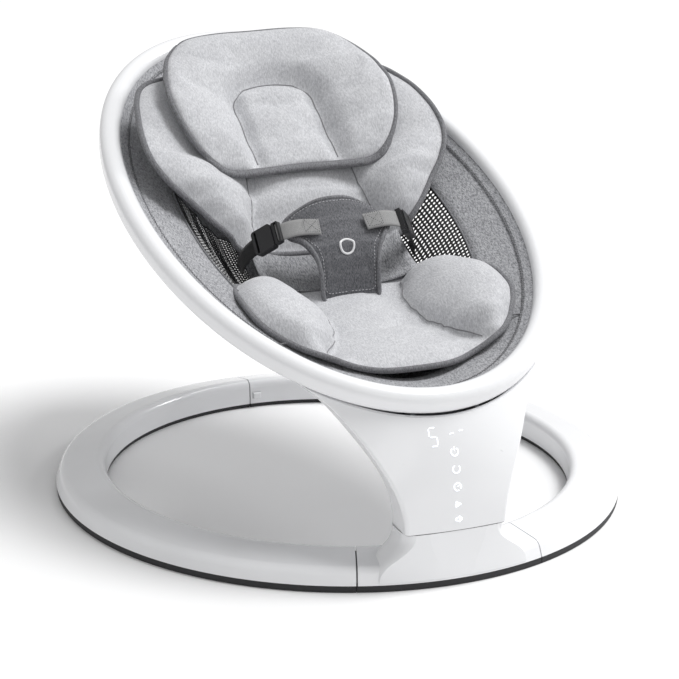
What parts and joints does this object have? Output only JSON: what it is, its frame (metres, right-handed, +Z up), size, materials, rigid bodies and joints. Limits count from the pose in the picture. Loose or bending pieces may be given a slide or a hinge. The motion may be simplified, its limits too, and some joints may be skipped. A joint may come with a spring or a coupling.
{
  "type": "baby swing",
  "caption": "Side-to-side baby swing: padded reclined seat in an oval hoop on one front pedestal, turning on a ring-shaped floor base, with a waist harness",
  "frame": {"origin": "on the floor, at the foot of the upright axis that the seat swings about, inside the front of the base ring", "axes": "+Z up; -Y towards the front (the baby's feet); +X to the viewer's right when facing the front"},
  "size_m": [0.659, 0.7816, 0.4989],
  "materials": {
    "white_gloss": "glossy white moulded plastic",
    "rubber_black": "matte black rubber",
    "inner_plastic": "matte grey glass-filled plastic",
    "steel": "satin steel",
    "magnet": "nickel plated",
    "copper": "enamelled copper winding",
    "circuit_board": "green solder resist",
    "connector_black": "satin black acetal",
    "light_guide": "clear frosted light guide",
    "sling_fabric": "mid-grey melange woven polyester",
    "mesh_fabric": "black open spacer mesh",
    "pad_fabric": "light grey brushed polyester with mid-grey piping",
    "harness_fabric": "dark grey melange fabric",
    "webbing_grey": "light grey woven webbing",
    "webbing_black": "black woven webbing"
  },
  "bodies": {
    "base": {"base_circuit_board": "circuit_board", "base_housing": "white_gloss", "bearing_bracket": "inner_plastic", "bracket_screws": "steel", "coil_cores": "magnet", "dc_inlet": "connector_black", "drive_coils": "copper", "front_spigots": "inner_plastic", "pivot_bearings": "steel", "rear_spigot": "inner_plastic", "release_spring": "steel", "ring_left": "white_gloss", "ring_right": "white_gloss", "ring_strip_front": "rubber_black", "ring_strip_left": "rubber_black", "ring_strip_right": "rubber_black"},
    "release_tab": {"ring_release_tab": "white_gloss"},
    "buckle_plug_left": {"buckle_plug_left": "connector_black"},
    "buckle_plug_right": {"buckle_plug_right": "connector_black"},
    "swing_arm": {"back_bolster_left": "pad_fabric", "back_bolster_right": "pad_fabric", "back_pad": "pad_fabric", "buckle_body_left": "connector_black", "buckle_body_right": "connector_black", "control_board": "circuit_board", "crotch_pad": "harness_fabric", "drive_magnets": "magnet", "harness_tab_left": "webbing_grey", "harness_tab_right": "webbing_grey", "headrest_pillow": "pad_fabric", "hoop_lower_shell": "white_gloss", "hoop_saddle": "inner_plastic", "hoop_screws": "steel", "hoop_upper_shell": "white_gloss", "icon_light_guides": "light_guide", "mesh_panel_left": "mesh_fabric", "mesh_panel_right": "mesh_fabric", "pedestal_foot_plate": "inner_plastic", "pedestal_front_shell": "white_gloss", "pedestal_rear_shell": "white_gloss", "pedestal_screws": "steel", "pivot_shaft": "steel", "seat_pad": "pad_fabric", "seat_sling": "sling_fabric", "shaft_cable": "rubber_black", "shaft_hub": "inner_plastic", "sling_hem": "sling_fabric", "speaker": "inner_plastic", "thigh_bolster_left": "pad_fabric", "thigh_bolster_right": "pad_fabric", "waist_strap_left": "webbing_black", "waist_strap_right": "webbing_black"}
  },
  "joints": [
    {"name": "seat_sway", "type": "hinge", "parent": "base", "child": "swing_arm", "pos_m": [0, 0, 0.0635], "axis": [0, 0, 1], "range_deg": [-12, 12]},
    {"name": "release_tab_press", "type": "slide", "parent": "base", "child": "release_tab", "axis": [0, 1, 0], "range_m": [0, 0.0025], "stiffness_N_per_m": 1200, "springref_m": -0.001, "deforming": ["release_spring"]},
    {"name": "buckle_right_pull", "type": "slide", "parent": "swing_arm", "child": "buckle_plug_right", "axis": [-0.5834, -0.596, 0.5517], "range_m": [0, 0.016]},
    {"name": "buckle_left_pull", "type": "slide", "parent": "swing_arm", "child": "buckle_plug_left", "axis": [0.5834, -0.596, 0.5517], "range_m": [0, 0.016]}
  ]
}
